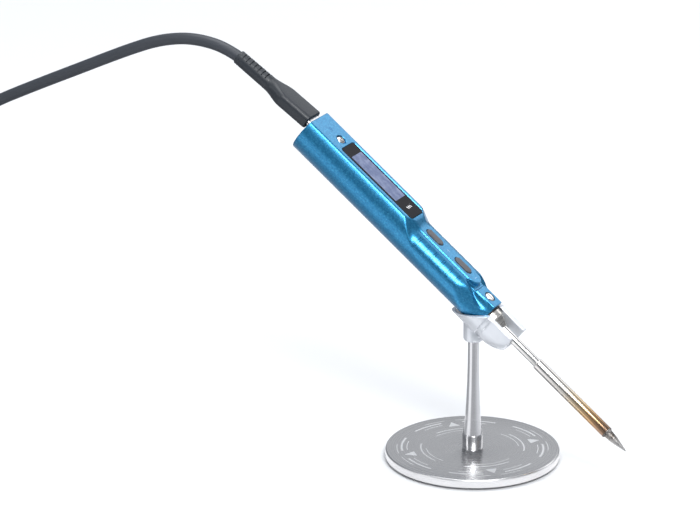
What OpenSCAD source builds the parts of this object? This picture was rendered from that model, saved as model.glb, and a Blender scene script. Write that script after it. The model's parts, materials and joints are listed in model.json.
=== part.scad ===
// Pen-type soldering iron resting in a stand, with its USB-C lead.
// Millimetres. The origin is the centre of the base's underside, +Z up, the iron's tip towards +X.

/* [Stand] */
// Outer diameter of the round base
base_d = 65.5; // [55:0.5:90]
// Thickness of the steel base disc
base_t = 3.2; // [2.5:0.1:8]
// Thickness of the anti-slip pad under the disc
pad_t = 1; // [0.5:0.1:2]
// Height where the bare post ends and the holder's boss begins
post_top_z = 47; // [45:0.5:48]
// Diameter of the post below the holder
post_d = 4.3; // [4:0.1:5.5]
// Diameter of the post's foot
foot_d = 7.7; // [6:0.1:9]

/* [Iron] */
// How far the iron leans below the horizontal, in degrees
lean = 38.1; // [37:0.1:39]
// Height at which the iron's axis crosses the post's axis
axis_z = 62.75; // [62.5:0.05:63]
// Distance along the axis from the post to the nose end
nose_ahead = 7.9; // [7.6:0.1:8.2]
// Length of the handle
body_l = 97; // [95:0.5:110]
// Diameter of the handle's round section
body_d = 18.3; // [18:0.1:18.6]
// Height of the handle's centre line above the tip's axis
body_up = 2.85; // [2.7:0.05:3]
// Height of the display face above the tip's axis
flat_up = 8.95; // [8.8:0.05:9.1]
// Wall of the two handle shells
wall = 1.3; // [1.1:0.1:1.4]

/* [Keys] */
// Length of a key
key_l = 8; // [7:0.1:9]
// Width of a key
key_w = 3.2; // [2.6:0.1:3.4]
// How far a key stands proud, which is a little more than its travel
key_proud = 0.45; // [0.4:0.05:0.6]

/* [Cartridge] */
// Distance from the nose end to the heater sleeve
tube_end = 25.1; // [20:0.1:30]
// Distance from the nose end to the front of the heater sleeve
sleeve_end = 61; // [55:0.1:65]
// Distance from the nose end to the point
point_end = 71.2; // [68:0.1:76]
// Diameter of the thin tube
tube_d = 3.46; // [3.4:0.01:3.5]
// Diameter of the heater sleeve
sleeve_d = 4.5; // [4.2:0.1:5]

/* [Lead] */
// Diameter of the lead's jacket
lead_d = 4.5; // [4:0.1:5]
// Diameter of the coil at the middle of its turns
coil_d = 48; // [47:1:49]
// Turns in the coil's two layers together, one wound inwards and one outwards
coil_turns = 5.75; // [4.75:1:6.75]

/* [Hidden] */

smooth = 96;
gap = 0.3;          // clearance between pieces that move apart
fit_gap = 0.05;     // radial clearance of a running fit
eps = 0.02;

base_top = pad_t + base_t;
nose_x = nose_ahead*cos(lean);
nose_z = axis_z - nose_ahead*sin(lean);

// Handle
body_r = body_d/2;
inner_r = body_r - wall;
grip_up = 6.8;          // height of the grip's shoulders
grip_round = 5.05;      // rounding of the shoulders
shoulder_y = body_r + 0.05 - grip_round;
groove_at = -37.1;      // rear pair of the six pairs of grooves
groove_pitch = 4.06;
groove_w = 0.32;
groove_deep = 0.2;
groove_span = [17, 62]; // where a groove starts and ends, in degrees from the top of the shoulder
island_up = 7.4;        // height of the raised strip that holds the keys
island_w = 6.6;
island_front = -10.5;
block_up = 6;           // height of the nose block
block_w = 6.6;
block_rear = -9.2;
nose_r = 5.2;           // radius of the round nose end
taper_start = -16;
taper_r = 9.9;
window = [-81.9, -44.7];
window_w = 9.9;
window_t = 1.1;
key_mid = [-34.4, -19.6];
key_room = 0.15;        // clearance around a key
board_up = 3;
board_t = 1;
board_top = board_up + board_t;
ceiling = flat_up - wall;
grip_ceiling = 5.5;
screw_at = -85.1;
clamp_at = -4.4;
plug_up = 5.9;          // height of the socket and plug above the tip's axis

// Cartridge
shank_rear = -32;
tube_r = tube_d/2;
sleeve_r = sleeve_d/2;
bore_r = tube_r + fit_gap;

// Holder
holder_r = 8.45;
cradle_rim_z = 59.8;    // height of the cradle's rim above the nose end
cradle_rim_tilt = 4;    // how far the rim falls towards the rear, in degrees
trough_up = 3.2;        // height of the trough's rims above the tip's axis
trough_r = 6.9;
seat_gap = 0.35;        // clearance between the handle and the cradle
cradle_in = 7.6;        // inner radius of the cradle behind its conical seat
trough_front = 13;
trough_in = 4.65;       // half the trough's inner width
trough_lift = 1.3;      // how far its floor rises at the front
boss_r = 3.9;
boss_round = 1.4;

// Plug
moulding = [10.2, 5.5];
moulding_l = 15.4;
relief_end_l = 37.2;
relief_r = 2.95;
plug_tilt = 4.5;        // how far the soft moulding sags off the shell
shell_size = [8.3, 2.5];

// Route of the lead from the plug to the coil, by hand
lead_path = [
    [-98.6, 0, 143.84], [-99.6, 0, 144.5], [-106, 0, 146.7], [-113, 0, 147.9], [-120, 0, 148], [-127, 0, 147],
    [-135, 0, 144.8], [-144, 0, 141.2], [-154, 0, 136.7], [-164, 0, 132], [-174, 0, 127.3],
    [-184, 0, 122.6], [-194, 0, 117.8], [-204, 0, 112.8], [-214, -1, 107.1], [-225.5, -4, 99.8],
    [-238, -9, 90.5], [-250.5, -14, 79.5], [-261.5, -18.5, 67.5], [-270, -22, 55], [-275.7, -24, 42.5],
    [-279.2, -24, 30.5], [-280.5, -20.5, 19.5], [-280.6, -12, 10.8], [-280.5, 0, 6.9]
];
coil_at = [-250, 0];
coil_r = coil_d/2;
lead_r = lead_d/2;
turn_gap = 0.05;
coil_out = (coil_turns/2 + 1)*(lead_d + turn_gap)/2;
coil_h = 2*lead_d + 3*turn_gap;
tail_y = -30.5;
far_rear = -277;        // where the far plug's strain relief begins

// ---- helpers ----------------------------------------------------------

// Puts a piece that is drawn along the tip's axis into its leaning place
module leaning() translate([nose_x, 0, nose_z]) rotate([0, lean, 0]) children();

// Extrudes a y-z outline along x
module along_x(from, to) translate([from, 0, 0]) rotate([90, 0, 90]) linear_extrude(to - from) children();

// Turns an outline of (x, radius) points about the x axis
module turned_x(points) rotate([0, 90, 0]) rotate_extrude($fn = smooth)
    polygon([for (p = points) [p[1], p[0]]]);

module rod_x(from, to, r) translate([from, 0, 0]) rotate([0, 90, 0])
    cylinder(h = to - from, r = r, $fn = smooth);

// Flat outline with round ends, long in its first direction
module stadium(l, w) {
    square([l - w, w], center = true);
    for (s = [-1, 1]) translate([s*(l - w)/2, 0]) circle(d = w, $fn = smooth);
}

module rounded(size, r) {
    square([size[0] - 2*r, size[1]], center = true);
    square([size[0], size[1] - 2*r], center = true);
    for (sx = [-1, 1], sy = [-1, 1])
        translate([sx*(size[0]/2 - r), sy*(size[1]/2 - r)]) circle(r = r, $fn = 48);
}

// Everything ahead of a plane that passes through a point with the given normal
module ahead_of(point, normal) {
    turn = atan2(normal[1], normal[0]);
    dip = atan2(norm([normal[0], normal[1]]), normal[2]);
    translate(point) rotate([0, dip, turn]) translate([-60, -60, 0]) cube([120, 120, 60]);
}

// ---- handle outlines (y, z) -------------------------------------------

module d_outline(r, top) intersection() {
    translate([0, body_up]) circle(r = r, $fn = smooth);
    translate([-15, -15]) square([30, 15 + top]);
}

// What is kept of the round section at the grip
module grip_outline() {
    translate([-shoulder_y, -12]) square([2*shoulder_y, 12 + grip_up]);
    for (s = [-1, 1]) translate([s*shoulder_y, grip_up - grip_round]) circle(r = grip_round, $fn = smooth);
    translate([-14, -14]) square([28, 14 + grip_up - grip_round]);
}

// One thin groove across a shoulder of the grip; side is 1 or -1
module grip_groove(at, side) along_x(at - groove_w/2, at + groove_w/2)
    translate([side*shoulder_y, grip_up - grip_round]) difference() {
        polygon([[0, 0], for (a = groove_span) 7*[side*sin(a), cos(a)]]);
        circle(r = grip_round - groove_deep, $fn = smooth);
    }

// What is kept of the section beside the nose block
module nose_outline() polygon([
    [-14, -14], [14, -14], [14, 0.1], [4.3, 3.1], [3.6, 5.5], [-3.6, 5.5], [-4.3, 3.1], [-14, 0.1]
]);

module block_outline() polygon([[-4.3, 0], [4.3, 0], [4.3, 3], [block_w/2, block_up],
                                [-block_w/2, block_up], [-4.3, 3]]);

module taper(grow = 0) turned_x([
    [-110, 0], [-110, 18], [taper_start, 18], [taper_start, taper_r + grow], [0, nose_r + grow],
    [grow > 0 ? 2 : 0, nose_r + grow], [grow > 0 ? 2 : 0, 0]
]);

// The handle's outer form
module body_form() {
    intersection() {
        difference() {
            along_x(-body_l, 0) d_outline(body_r, flat_up);
            // grip: the shoulders are cut down ahead of the display step's three facets
            difference() {
                along_x(-52, 1) difference() {
                    translate([-14, -6]) square([28, 20]);
                    grip_outline();
                }
                difference() {
                    translate([-60, -20, -20]) cube([40, 40, 40]);
                    ahead_of([-43.9, 0, flat_up], [0.36, 0, 0.93]);
                    for (s = [-1, 1]) ahead_of([-46.5, s*6.7, flat_up], [0.43, s*0.4, 0.81]);
                }
            }
            // nose: a slanted recess on each side of the block
            for (s = [-1, 1]) intersection() {
                along_x(-14, 1) difference() {
                    translate([s < 0 ? -14 : 0, -6]) square([14, 20]);
                    nose_outline();
                }
                ahead_of([-11.9, s*5.8, 6.3], [0.44, -s*0.54, 0.71]);
            }
            translate([block_rear - 0.8, -3.6, 5.5]) cube([12, 7.2, 5]);
            for (i = [0:5], dx = [-0.4, 0.4], s = [-1, 1]) grip_groove(groove_at + i*groove_pitch + dx, s);
        }
        taper();
    }
    // raised strip of the keys
    translate([0, 0, 4.5]) linear_extrude(island_up - 4.5) {
        translate([island_front - island_w/2, 0]) circle(d = island_w, $fn = smooth);
        translate([-41.5, -island_w/2]) square([41.5 + island_front - island_w/2, island_w]);
    }
    along_x(block_rear, 0) block_outline();
}

// The hollow inside both shells
module body_hollow() {
    along_x(-body_l - 1, -49) d_outline(inner_r, ceiling);
    along_x(-49 - eps, -17) d_outline(6.9, grip_ceiling);
    rod_x(-17 - eps, 1, 4.2);
}

module key_slot(at) translate([at, 0, grip_ceiling - 1]) linear_extrude(6)
    stadium(key_l + 2*key_room, key_w + 2*key_room);

module seam_side(top) translate([-120, -20, top ? body_up : body_up - 40]) cube([140, 40, 40]);

// ---- handle -----------------------------------------------------------

module upper_shell() color("steelblue") leaning() difference() {
    intersection() {
        body_form();
        seam_side(true);
    }
    body_hollow();
    // display window's seat and opening
    translate([(window[0] + window[1])/2, 0, flat_up - window_t]) linear_extrude(3)
        rounded([window[1] - window[0] + 0.1, window_w + 0.1], 1.2);
    translate([window[0] + 1, 1 - window_w/2, 5]) cube([window[1] - window[0] - 2, window_w - 2, 6]);
    for (at = key_mid) key_slot(at);
    translate([screw_at, 0, 4]) cylinder(h = 10, r = 1.05, $fn = smooth);
    translate([screw_at, 0, flat_up - 0.9]) cylinder(h = 3, r = 2.1, $fn = smooth);
    translate([clamp_at, 0, 2]) cylinder(h = 8, r = 1.35, $fn = smooth);
    translate([clamp_at, 0, block_up - 1.6]) cylinder(h = 3, r = 2.2, $fn = smooth);
}

module lower_shell() color("steelblue") leaning() {
    difference() {
        intersection() {
            body_form();
            seam_side(false);
        }
        body_hollow();
    }
    // pillar that the earth screw is driven into
    difference() {
        translate([screw_at, 0, body_up - body_r + 0.6]) cylinder(h = 7.2, r = 2.4, $fn = smooth);
        translate([screw_at, 0, -2]) cylinder(h = 8, r = 1 - eps, $fn = smooth);
    }
}

module rear_cap() color("black") leaning() difference() {
    along_x(-body_l + 0.25, -body_l + 1.5) d_outline(inner_r, ceiling);
    along_x(-body_l - 1, -body_l + 3) translate([0, plug_up]) rounded([9.1, 3.3], 1.6);
}

module display_window() color([0.06, 0.06, 0.07]) leaning()
    translate([(window[0] + window[1])/2, 0, flat_up - window_t]) linear_extrude(window_t - 0.05)
        rounded([window[1] - window[0], window_w], 1.15);

module oled_panel() color([0.25, 0.27, 0.36]) leaning()
    translate([-80, -4, 6.3]) cube([30, 8, 1.3]);

module display_carrier() color("dimgray") leaning() difference() {
    translate([-82, -4.6, board_top]) cube([32.6, 9.2, 2.3]);
    translate([-78, -3.4, board_top - 1]) cube([25, 6.8, 5]);
}

// ---- electronics ------------------------------------------------------

module main_board() color("darkgreen") leaning() difference() {
    translate([-94.5, -6.3, board_up]) cube([77.2, 12.6, board_t]);
    translate([screw_at, 0, board_up - 1]) cylinder(h = 3, r = 2.6, $fn = smooth);
}

// [x, y, length, width, height] of the parts under the board
chips = [[-72, -2.5, 6, 5, 1], [-60, -2, 4, 4, 0.9], [-52, -3, 5, 6, 2.4], [-90, -2.5, 3, 5, 1.2]];
module board_chips() color([0.12, 0.12, 0.13]) leaning()
    for (c = chips) translate([c[0], c[1], board_up - c[4]]) cube([c[2], c[3], c[4]]);

module tact_switches() color("gainsboro") leaning()
    for (at = key_mid) translate([at - 1.6, -1.3, board_top]) cube([3.2, 2.6, 0.6]);

module usb_socket() color("silver") leaning() difference() {
    along_x(-body_l + 0.4, -89.4) translate([0, plug_up]) rounded([8.94, 3.2], 1.5);
    difference() {
        along_x(-body_l, -90.2) translate([0, plug_up]) rounded([8.5, 2.74], 1.3);
        translate([-95.5, -3.3, plug_up - 0.3]) cube([8, 6.6, 0.6]);
    }
}

module contact_carrier() color("ivory") leaning() difference() {
    intersection() {
        rod_x(-35, -17.2, 3.95);
        translate([-40, -10, -10]) cube([40, 20, 10 + board_up - 0.1]);
    }
    rod_x(-33, -10, bore_r);
    for (at = [-31, -22]) rod_x(at, at + 2.2, 2.6);
}

module contact_clips() color("gold") leaning()
    for (at = [-31, -22]) difference() {
        rod_x(at + 0.1, at + 2.1, 2.6);
        rod_x(at - 1, at + 4, tube_r + gap);
    }

// ---- nose -------------------------------------------------------------

module nose_gasket() color([0.08, 0.08, 0.09]) leaning() difference() {
    rod_x(0, 0.45, 5.15);
    rod_x(-1, 2, bore_r + 0.6);
}

module nose_collar() color("silver") leaning() difference() {
    turned_x([[-14, 0], [-14, 4.1], [0, 4.1], [0, 2.33], [0.45, 2.33], [0.45, 4], [0.7, 4.25], [2.9, 4.25],
              [3.15, 4], [3.15, 3.8], [7, 2.2], [7.2, 2], [7.2, 0]]);
    rod_x(-15, 9, bore_r);
    translate([clamp_at, 0, 1]) cylinder(h = 5, r = 1.35, $fn = smooth);
}

module clamp_nut() color([0.1, 0.1, 0.11]) leaning() difference() {
    translate([clamp_at, 0, block_up - 1.6]) cylinder(h = 1.5, r = 2.2, $fn = smooth);
    translate([clamp_at, 0, 2]) cylinder(h = 8, r = 1.85, $fn = smooth);
}

module clamp_screw() color("whitesmoke") leaning() difference() {
    union() {
        translate([clamp_at, 0, tube_r + gap]) cylinder(h = 3, r = 1.35 - fit_gap, $fn = smooth);
        translate([clamp_at, 0, block_up - 1.5]) cylinder(h = 1.7, r = 1.8, $fn = smooth);
    }
    translate([clamp_at - 3, -0.25, block_up - 0.35]) cube([6, 0.5, 2]);
}

module earth_screw() color("silver") leaning() difference() {
    union() {
        translate([screw_at, 0, -1]) cylinder(h = 9.5, r = 1 - fit_gap - eps, $fn = smooth);
        translate([screw_at, 0, flat_up - 0.85]) cylinder(h = 0.6, r = 1.7, $fn = smooth);
        translate([screw_at, 0, flat_up - 0.25]) intersection() {
            cylinder(h = 0.7, r = 1.7, $fn = smooth);
            translate([0, 0, -1.75]) sphere(r = 2.45, $fn = smooth);
        }
    }
    translate([screw_at, 0, flat_up - 0.5]) cylinder(h = 3, r = 0.75, $fn = 6);
}

// ---- keys -------------------------------------------------------------

module key(at) color([0.22, 0.22, 0.23]) leaning() {
    translate([at, 0, grip_ceiling - 0.4]) linear_extrude(island_up + key_proud - grip_ceiling + 0.4)
        stadium(key_l, key_w);
}

module rear_key() key(key_mid[0]);

module front_key() key(key_mid[1]);

// ---- cartridge --------------------------------------------------------

module cartridge_tube() color("lightgray") leaning() difference() {
    rod_x(-14, tube_end, tube_r);
    rod_x(-15, tube_end + 1, tube_r - 0.35);
}

module cartridge_insulator() color("white") leaning() rod_x(-24, -14, tube_r);

module cartridge_contact() color("gold") leaning() rod_x(shank_rear, -24, tube_r);

module heater_sleeve() color([0.72, 0.66, 0.58]) leaning() difference() {
    turned_x([[tube_end, 0], [tube_end, sleeve_r - 0.15], [tube_end + 0.15, sleeve_r],
              [sleeve_end, sleeve_r], [sleeve_end, 0]]);
    rod_x(tube_end + 0.4, sleeve_end + 1, sleeve_r - 0.35);
}

module heater_core() color("white") leaning() rod_x(tube_end + 3, sleeve_end - 2.5, 1.5);

module tip_bit() color("gray") leaning() difference() {
    turned_x([[sleeve_end - 2, 0], [sleeve_end - 2, sleeve_r - 0.4], [sleeve_end, sleeve_r - 0.4],
              [sleeve_end, sleeve_r + 0.05], [sleeve_end + 0.6, sleeve_r], [sleeve_end + 1, 1.75],
              [sleeve_end + 4, 1.5], [point_end - 0.3, 0.25], [point_end, 0]]);
    // slanted facet of the point
    ahead_of([point_end - 0.1, 0, 0.12], [0.17, 0, 1]);
}

// ---- plug -------------------------------------------------------------

// Lets the soft moulding sag off the line of the metal shell
module sagging() leaning() translate([-98.3, 0, plug_up]) rotate([0, -plug_tilt, 0]) children();

module plug_shell() color("silver") leaning() difference() {
    along_x(-99.4, -90.8) translate([0, plug_up]) rounded(shell_size, 1.2);
    along_x(-97.4, -90) translate([0, plug_up]) rounded([shell_size[0] - 0.6, shell_size[1] - 0.6], 0.9);
}

module moulding_body() difference() {
    union() {
        along_x(-moulding_l, 0) rounded(moulding, 1.7);
        hull() {
            along_x(-moulding_l, -moulding_l + eps) rounded(moulding, 1.7);
            rod_x(-moulding_l - 6, -moulding_l - 6 + eps, relief_r);
        }
    }
    along_x(-1.6, 1) rounded([shell_size[0] + 0.5, shell_size[1] + 0.5], 1.3);
}

module relief_body() difference() {
    turned_x([[-relief_end_l, 0], [-relief_end_l, relief_r - 0.15], [-moulding_l - 6, relief_r],
              [-moulding_l - 6, 0]]);
    for (i = [0:6]) translate([-relief_end_l + 1.9 + 1.9*i, -4, 1.6]) cube([0.8, 8, 3]);
}

module plug_moulding() color([0.13, 0.14, 0.15]) sagging() moulding_body();

module strain_relief() color([0.13, 0.14, 0.15]) sagging() relief_body();

// ---- lead -------------------------------------------------------------

function along(path, i) =
    let (a = path[max(i - 1, 0)], b = path[min(i + 1, len(path) - 1)]) (b - a)/norm(b - a);
function ring(path, i, r, sides) =
    let (t = along(path, i), u = cross([0, 1, 0], t), n = u/norm(u), b = cross(t, n))
    [for (k = [0:sides - 1]) path[i] + r*(cos(360*k/sides)*n + sin(360*k/sides)*b)];

// A round tube along a list of points
module tube(path, r, sides = 10) {
    last = len(path) - 1;
    points = [for (i = [0:last]) each ring(path, i, r, sides)];
    walls = [for (i = [0:last - 1], k = [0:sides - 1])
        let (a = i*sides + k, b = i*sides + (k + 1) % sides) [a, a + sides, b + sides, b]];
    polyhedron(points, concat([[for (k = [0:sides - 1]) k]], walls,
                              [[for (k = [sides - 1:-1:0]) last*sides + k]]), convexity = 6);
}

module cable_lead() color([0.1, 0.11, 0.12]) tube(lead_path, lead_r);

module cable_coil() color([0.1, 0.11, 0.12]) translate([coil_at[0], coil_at[1], 0])
    rotate_extrude($fn = smooth) translate([coil_r - coil_out, 0]) square([2*coil_out, coil_h]);

// Strap of the hook-and-loop tie, a flat band around the bundle
module cable_tie() color([0.05, 0.05, 0.05]) translate([coil_at[0] + coil_r, coil_at[1], 0]) difference() {
    translate([-coil_out - 0.9, -4, 0]) cube([2*coil_out + 1.8, 8, coil_h + 0.9]);
    translate([-coil_r, 0, -1]) difference() {
        cylinder(h = coil_h + 1, r = coil_r + coil_out + eps, $fn = smooth);
        translate([0, 0, -1]) cylinder(h = coil_h + 3, r = coil_r - coil_out - eps, $fn = smooth);
    }
}

module cable_tail() color([0.1, 0.11, 0.12]) translate([0, tail_y, lead_r + 0.5])
    rod_x(far_rear, -262, lead_r);

// The far plug is the same plug, laid flat with its shell towards -X
module far_place() translate([far_rear - relief_end_l, tail_y, relief_r])
    rotate([0, 0, 180]) children();

module far_relief() color([0.13, 0.14, 0.15]) far_place() relief_body();

module far_moulding() color([0.13, 0.14, 0.15]) far_place() moulding_body();

module far_shell() color("silver") far_place() difference() {
    along_x(-1.1, 7.5) rounded(shell_size, 1.2);
    along_x(0.9, 9) rounded([shell_size[0] - 0.6, shell_size[1] - 0.6], 0.9);
}

// ---- stand ------------------------------------------------------------

module base_disc() color("silver") difference() {
    rotate_extrude($fn = 128) polygon([
        [0, pad_t], [base_d/2 - 0.3, pad_t], [base_d/2, pad_t + 0.3], [base_d/2, base_top - 0.35],
        [base_d/2 - 0.35, base_top], [0, base_top]
    ]);
    cylinder(h = 10, r = 2.05, $fn = smooth);
    rotate_extrude($fn = smooth)
        polygon([[0, 0], [4.1, 0], [4.1, pad_t + 0.2], [2.05, pad_t + 2.2], [0, pad_t + 2.2]]);
}

module base_pad() color([0.15, 0.15, 0.16]) difference() {
    cylinder(h = pad_t, d = base_d - 2.5, $fn = 128);
    translate([0, 0, -1]) cylinder(h = 3, r = 4.5, $fn = smooth);
}

module base_screw() color("dimgray") difference() {
    rotate_extrude($fn = smooth) polygon([
        [0, pad_t + 0.1], [3.9, pad_t + 0.1], [3.9, pad_t + 0.3], [1.95, pad_t + 2.15], [1.95, 13], [0, 13]
    ]);
    translate([0, 0, 0]) cylinder(h = pad_t + 1.5, r = 1.45, $fn = 6);
}

module post() color("silver") difference() {
    rotate_extrude($fn = smooth) polygon([
        [0, base_top], [foot_d/2, base_top], [foot_d/2, base_top + 5.4], [foot_d/2 - 0.25, base_top + 6],
        [3, 16], [2.6, 22], [2.3, 30], [post_d/2, 38], [post_d/2, post_top_z + 4], [0, post_top_z + 4]
    ]);
    translate([0, 0, base_top - 1]) cylinder(h = 10, r = 1.95 + eps, $fn = smooth);
    translate([0, 0, post_top_z]) cylinder(h = 5, r = 1.25, $fn = smooth);
}

// Front of the trough, whose underside sweeps up towards the tip: [x, centre height]
bow = [[2.6, -1.6], [6, -1.5], [8.4, -0.9], [10.2, -0.1], [11.8, 0.95], [trough_front - 0.1, 2]];

module trough_slice(up) intersection() {
    translate([0, up]) {
        circle(r = trough_r, $fn = 64);
        translate([-trough_r, 0]) square([2*trough_r, 6]);
    }
    translate([-10, -12]) square([20, 12 + trough_up]);
}

module cradle_hollow() {
    intersection() {
        taper(seat_gap);
        union() {
            along_x(-40, 3) d_outline(body_r + seat_gap, 12);
            rod_x(-40, 3, cradle_in);
        }
    }
    for (part = [[-4, 7.6, 0], [7.5, 20, trough_lift]]) along_x(part[0], part[1]) {
        translate([0, part[2]]) circle(r = trough_in, $fn = smooth);
        translate([-trough_in, part[2]]) square([2*trough_in, 12]);
    }
}

module holder() color("gainsboro") difference() {
    union() {
        intersection() {
            leaning() rod_x(-30, 0.9, holder_r);
            translate([nose_x, 0, cradle_rim_z]) rotate([0, -cradle_rim_tilt, 0])
                translate([-60, -20, -30]) cube([100, 40, 30]);
        }
        leaning() intersection() {
            rod_x(0.8, 2.7, holder_r - 0.8);
            translate([0, -12, -12]) cube([10, 24, 12 + trough_up]);
        }
        leaning() hull() for (b = bow) along_x(b[0], b[0] + 0.1) trough_slice(b[1]);
        intersection() {
            rotate_extrude($fn = smooth) {
                translate([0, post_top_z]) square([boss_r - boss_round, 12]);
                translate([0, post_top_z + boss_round]) square([boss_r, 12]);
                translate([boss_r - boss_round, post_top_z + boss_round]) circle(r = boss_round, $fn = 48);
            }
            leaning() rod_x(-40, 30, 16);
        }
    }
    leaning() cradle_hollow();
    translate([0, 0, post_top_z - 1]) cylinder(h = 5, d = post_d, $fn = smooth);
    translate([0, 0, post_top_z]) cylinder(h = 7, r = 1.25, $fn = smooth);
}

module holder_stud() color("dimgray") translate([0, 0, post_top_z + 0.2])
    cylinder(h = 6.6, r = 1.25, $fn = smooth);

base_disc();
base_pad();
base_screw();
post();
holder();
holder_stud();
upper_shell();
lower_shell();
rear_cap();
display_window();
oled_panel();
display_carrier();
main_board();
board_chips();
tact_switches();
usb_socket();
contact_carrier();
contact_clips();
nose_gasket();
nose_collar();
clamp_nut();
rear_key();
front_key();
clamp_screw();
earth_screw();
cartridge_tube();
cartridge_insulator();
cartridge_contact();
heater_sleeve();
heater_core();
tip_bit();
plug_shell();
plug_moulding();
strain_relief();
cable_lead();
cable_coil();
cable_tie();
cable_tail();
far_relief();
far_moulding();
far_shell();
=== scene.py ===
"""Looks of a pen-type soldering iron that rests in its stand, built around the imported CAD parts.

Metres, in the CAD frame: the origin is the centre of the base's underside, +Z up, the tip towards +X.
The "iron frame" has +x along the tip's axis, +z out of the display face and its origin at the nose.
"""

import json
import math

import bmesh
import bpy
import numpy as np
from mathutils import Matrix, Vector

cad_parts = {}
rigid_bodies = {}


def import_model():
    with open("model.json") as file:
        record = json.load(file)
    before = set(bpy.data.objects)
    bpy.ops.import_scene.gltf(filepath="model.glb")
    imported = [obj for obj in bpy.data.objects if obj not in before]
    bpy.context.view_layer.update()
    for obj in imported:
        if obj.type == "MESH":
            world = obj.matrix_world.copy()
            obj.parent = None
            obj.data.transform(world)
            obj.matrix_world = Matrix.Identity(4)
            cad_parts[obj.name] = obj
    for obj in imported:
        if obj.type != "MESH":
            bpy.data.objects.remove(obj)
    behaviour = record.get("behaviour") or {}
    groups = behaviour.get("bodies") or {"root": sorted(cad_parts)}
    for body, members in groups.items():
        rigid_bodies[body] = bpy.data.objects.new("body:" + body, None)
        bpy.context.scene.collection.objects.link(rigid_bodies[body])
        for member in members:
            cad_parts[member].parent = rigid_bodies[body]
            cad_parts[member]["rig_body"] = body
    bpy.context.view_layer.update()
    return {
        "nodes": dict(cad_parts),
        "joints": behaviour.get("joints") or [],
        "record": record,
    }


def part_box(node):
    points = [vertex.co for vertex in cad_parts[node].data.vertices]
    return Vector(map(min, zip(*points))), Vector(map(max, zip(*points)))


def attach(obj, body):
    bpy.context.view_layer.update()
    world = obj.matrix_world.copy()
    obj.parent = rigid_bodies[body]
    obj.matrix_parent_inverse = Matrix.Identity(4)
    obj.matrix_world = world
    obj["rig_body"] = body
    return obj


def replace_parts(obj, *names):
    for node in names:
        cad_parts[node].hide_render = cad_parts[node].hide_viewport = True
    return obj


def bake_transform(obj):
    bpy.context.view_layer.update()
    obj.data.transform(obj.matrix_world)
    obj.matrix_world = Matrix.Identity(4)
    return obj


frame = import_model()

MM = 0.001
JOINTS = {joint["name"]: joint for joint in frame["joints"]}
SLOTS = {part["node"]: part["material_slot"] for part in frame["record"]["subparts"]}
BODIES = {node: obj["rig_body"] for node, obj in frame["nodes"].items()}

# ---- camera ----------------------------------------------------

CAMERA_PLACE = (0.5621, -1.2042, 0.5387)
CAMERA_TURN = (90 - 19.144, 0, 27.006)
CAMERA_LENS = 195.8

camera = bpy.data.objects.new("camera", bpy.data.cameras.new("camera"))
camera.data.sensor_width = 36
camera.data.lens = CAMERA_LENS
camera.data.clip_end = 20
camera.location = CAMERA_PLACE
camera.rotation_euler = [math.radians(a) for a in CAMERA_TURN]
bpy.context.scene.collection.objects.link(camera)
bpy.context.scene.camera = camera

# ---- the iron frame --------------------------------------------

BACK = Vector(JOINTS["iron_lift"]["axis"]).normalized()
AHEAD = -BACK
OUT = Vector((-AHEAD.z, 0, AHEAD.x))
LEAN = math.atan2(-AHEAD.z, AHEAD.x)
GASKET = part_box("nose_gasket")
GASKET_HALF = 0.225
NOSE = (GASKET[0] + GASKET[1]) / 2 - AHEAD*GASKET_HALF*MM
IRON = Matrix.Translation(NOSE) @ Matrix.Rotation(LEAN, 4, "Y")


def on_iron(x, y, z):
    """A point given in the iron frame's millimetres, in the row frame's metres."""
    return IRON @ Vector((x*MM, y*MM, z*MM))


# ---- mesh helpers ----------------------------------------------


def smooth(obj, angle=30):
    """Shades a piece smooth, apart from edges sharper than the angle."""
    mesh = obj.data
    bm = bmesh.new()
    bm.from_mesh(mesh)
    for face in bm.faces:
        face.smooth = True
    for edge in bm.edges:
        edge.smooth = len(edge.link_faces) == 2 and edge.calc_face_angle(0) < math.radians(angle)
    bm.to_mesh(mesh)
    bm.free()
    return obj


def piece(name, bm, material, body, replaces=(), angle=30):
    """Turns a bmesh in the row frame into a finished piece on a body."""
    mesh = bpy.data.meshes.new(name)
    bmesh.ops.recalc_face_normals(bm, faces=bm.faces)
    bm.to_mesh(mesh)
    bm.free()
    obj = bpy.data.objects.new(name, mesh)
    bpy.context.scene.collection.objects.link(obj)
    mesh.materials.append(material)
    smooth(obj, angle)
    if body:
        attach(obj, body)
    if replaces:
        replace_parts(obj, *replaces)
    return obj


def skin(bm, rings):
    """Joins each ring of vertices to the next and closes both ends."""
    for a, b in zip(rings, rings[1:]):
        for k in range(len(a)):
            n = (k + 1) % len(a)
            bm.faces.new((a[k], a[n], b[n], b[k]))
    bm.faces.new(rings[0][::-1])
    bm.faces.new(rings[-1])
    return bm


def cut_flat(bm, point, normal, keep_above):
    """Cuts a closed bmesh at a plane, keeps one side and closes the cut."""
    cut = bmesh.ops.bisect_plane(
        bm, geom=bm.verts[:] + bm.edges[:] + bm.faces[:], dist=1e-7, plane_co=point, plane_no=normal,
        clear_inner=keep_above, clear_outer=not keep_above,
    )
    edges = [e for e in cut["geom_cut"] if isinstance(e, bmesh.types.BMEdge)]
    bmesh.ops.triangle_fill(bm, use_beauty=True, edges=edges)
    return bm


def sweep(points, radius, sides):
    """A round tube along points, with closed ends, as a bmesh."""
    bm = bmesh.new()
    rings, turned = [], None
    for i, point in enumerate(points):
        along = (points[min(i + 1, len(points) - 1)] - points[max(i - 1, 0)]).normalized()
        if turned is None:
            turned = along.orthogonal().normalized()
        turned = (turned - along*turned.dot(along)).normalized()
        across = along.cross(turned)
        rings.append([
            bm.verts.new(point + radius*(math.cos(a)*turned + math.sin(a)*across))
            for a in (2*math.pi*k/sides for k in range(sides))
        ])
    return skin(bm, rings)


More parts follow.
